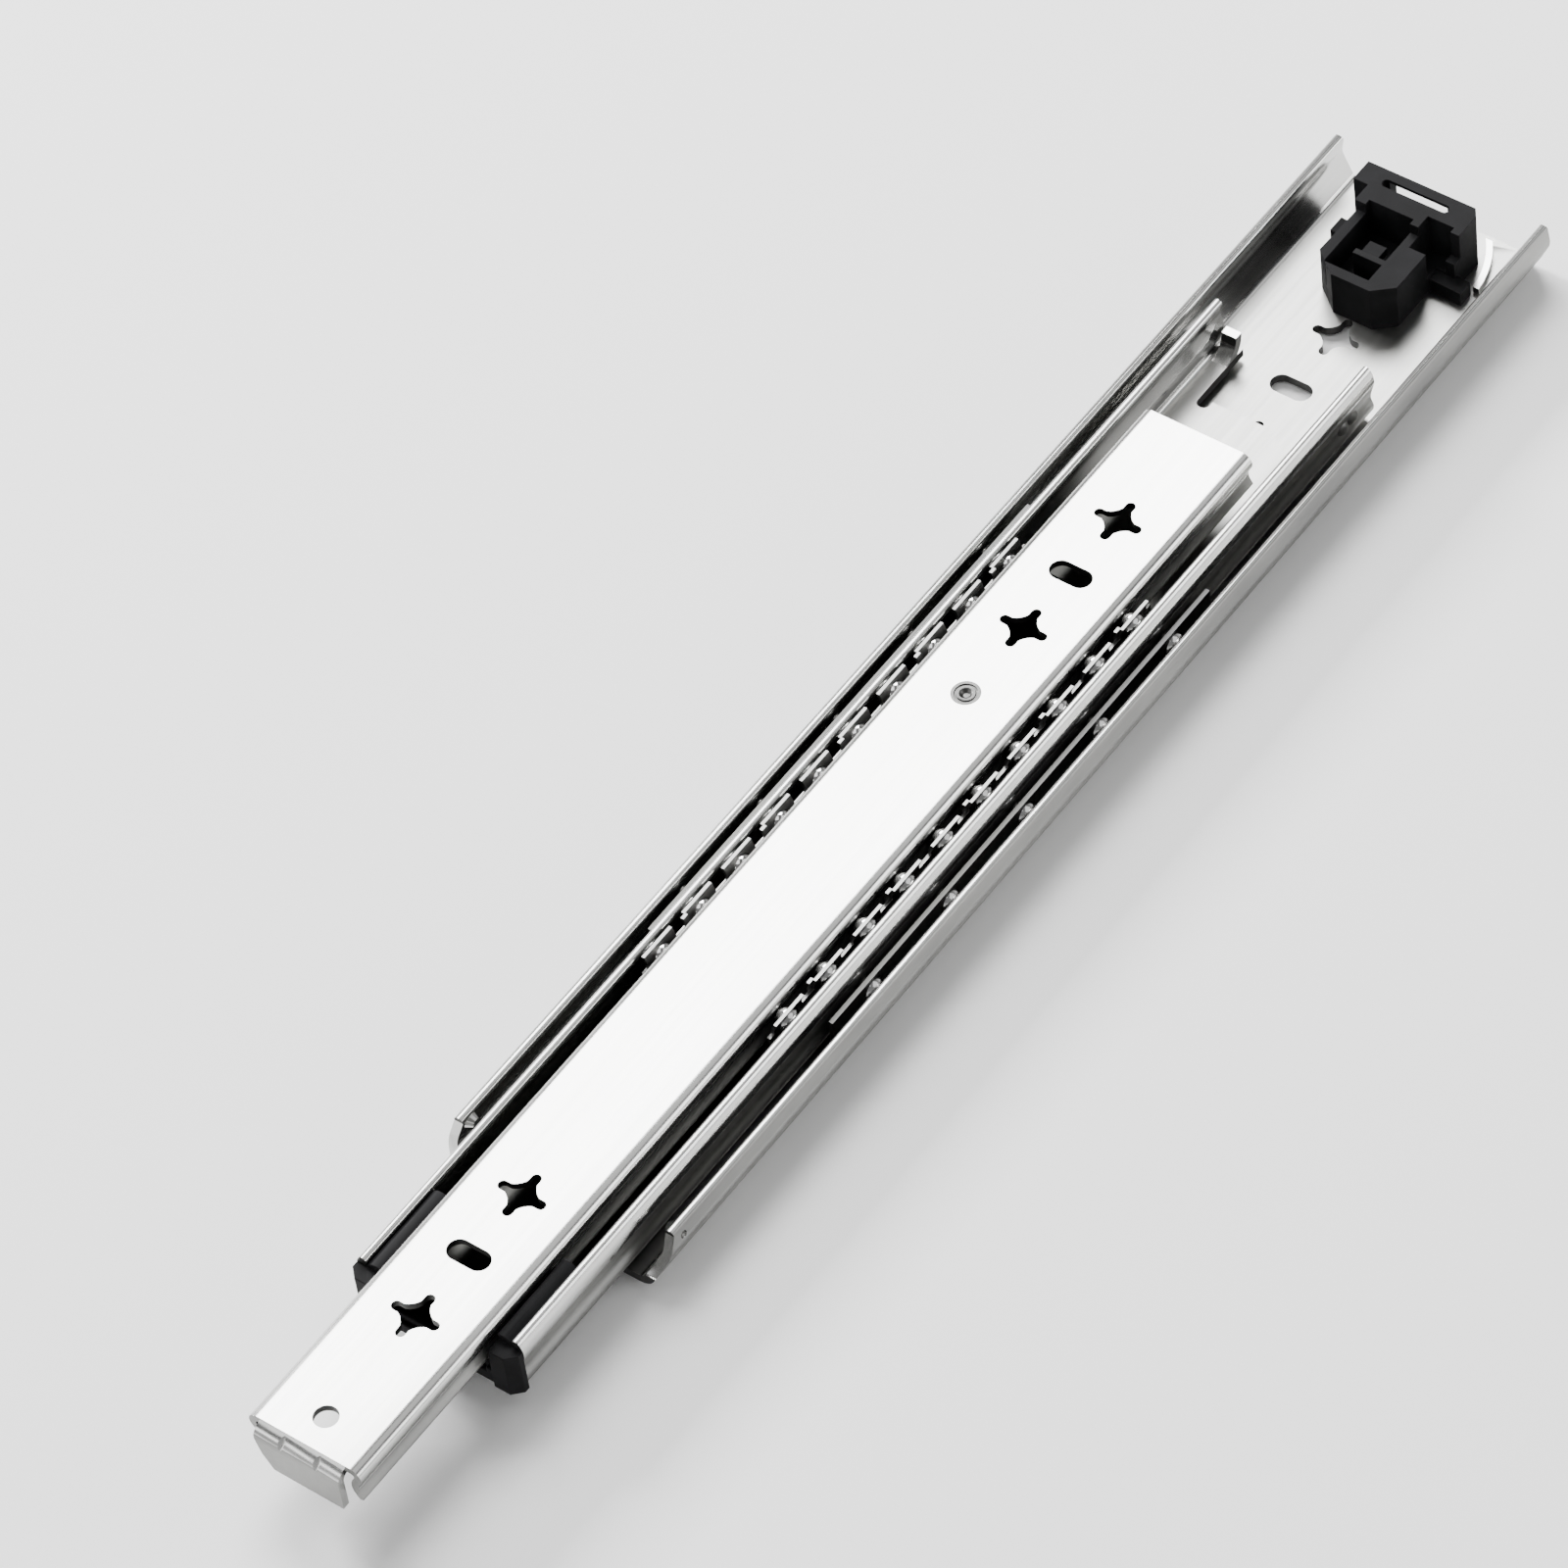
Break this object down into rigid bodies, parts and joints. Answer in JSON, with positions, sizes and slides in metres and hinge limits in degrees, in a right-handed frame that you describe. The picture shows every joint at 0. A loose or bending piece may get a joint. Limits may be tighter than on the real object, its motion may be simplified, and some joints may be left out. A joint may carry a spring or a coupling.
{
  "type": "cabinet drawer slide",
  "caption": "Ball-bearing drawer slide: nested steel channels with ball cages, black end caps, a rear bumper and screw holes.",
  "frame": {"origin": "middle of the cabinet member's flat mounting face", "axes": "+X across the slide to the right seen from the front, +Y from the front (pull) end to the rear, +Z from the cabinet face to the drawer face"},
  "size_m": [0.0518, 0.3738, 0.019],
  "materials": {
    "zinc_steel": "bright zinc plate",
    "rivet_steel": "plated",
    "cage_steel": "plain pressed steel",
    "dark_cage": "dark",
    "ball_steel": "polished",
    "black_plastic": "fine moulded"
  },
  "bodies": {
    "cabinet": {"cabinet_member": "zinc_steel", "rear_bumper": "black_plastic"},
    "outer_cage_left": {"outer_cage_left": "dark_cage", "outer_ball_left_1": "ball_steel", "outer_ball_left_2": "ball_steel", "outer_ball_left_3": "ball_steel", "outer_ball_left_4": "ball_steel", "outer_ball_left_5": "ball_steel"},
    "outer_cage_right": {"outer_cage_right": "dark_cage", "outer_ball_right_1": "ball_steel", "outer_ball_right_2": "ball_steel", "outer_ball_right_3": "ball_steel", "outer_ball_right_4": "ball_steel", "outer_ball_right_5": "ball_steel"},
    "intermediate": {"intermediate_member": "zinc_steel", "front_cap_left": "black_plastic", "front_cap_right": "black_plastic", "front_bridge": "black_plastic"},
    "inner_cage": {"inner_cage": "cage_steel", "inner_ball_left_1": "ball_steel", "inner_ball_left_2": "ball_steel", "inner_ball_left_3": "ball_steel", "inner_ball_left_4": "ball_steel", "inner_ball_left_5": "ball_steel", "inner_ball_left_6": "ball_steel", "inner_ball_left_7": "ball_steel", "inner_ball_left_8": "ball_steel", "inner_ball_left_9": "ball_steel", "inner_ball_left_10": "ball_steel", "inner_ball_right_1": "ball_steel", "inner_ball_right_2": "ball_steel", "inner_ball_right_3": "ball_steel", "inner_ball_right_4": "ball_steel", "inner_ball_right_5": "ball_steel", "inner_ball_right_6": "ball_steel", "inner_ball_right_7": "ball_steel", "inner_ball_right_8": "ball_steel", "inner_ball_right_9": "ball_steel", "inner_ball_right_10": "ball_steel"},
    "drawer": {"drawer_member": "zinc_steel", "stop_rivet": "rivet_steel", "stop_plate": "zinc_steel"}
  },
  "joints": [
    {"name": "intermediate_slide", "type": "slide", "parent": "cabinet", "child": "intermediate", "axis": [0, -1, 0], "range_m": [-0.0334, 0.1006]},
    {"name": "drawer_slide", "type": "slide", "parent": "intermediate", "child": "drawer", "axis": [0, -1, 0], "range_m": [-0.0334, 0.0746]},
    {"name": "outer_cage_left_slide", "type": "slide", "parent": "cabinet", "child": "outer_cage_left", "axis": [0, -1, 0], "range_m": [-0.0167, 0.0503]},
    {"name": "outer_cage_right_slide", "type": "slide", "parent": "cabinet", "child": "outer_cage_right", "axis": [0, -1, 0], "range_m": [-0.0167, 0.0503]},
    {"name": "inner_cage_slide", "type": "slide", "parent": "intermediate", "child": "inner_cage", "axis": [0, -1, 0], "range_m": [-0.0167, 0.0373]}
  ],
  "couplings": [
    {"joint": "outer_cage_left_slide", "follows": "intermediate_slide", "ratio": 0.5},
    {"joint": "outer_cage_right_slide", "follows": "intermediate_slide", "ratio": 0.5},
    {"joint": "inner_cage_slide", "follows": "drawer_slide", "ratio": 0.5}
  ]
}
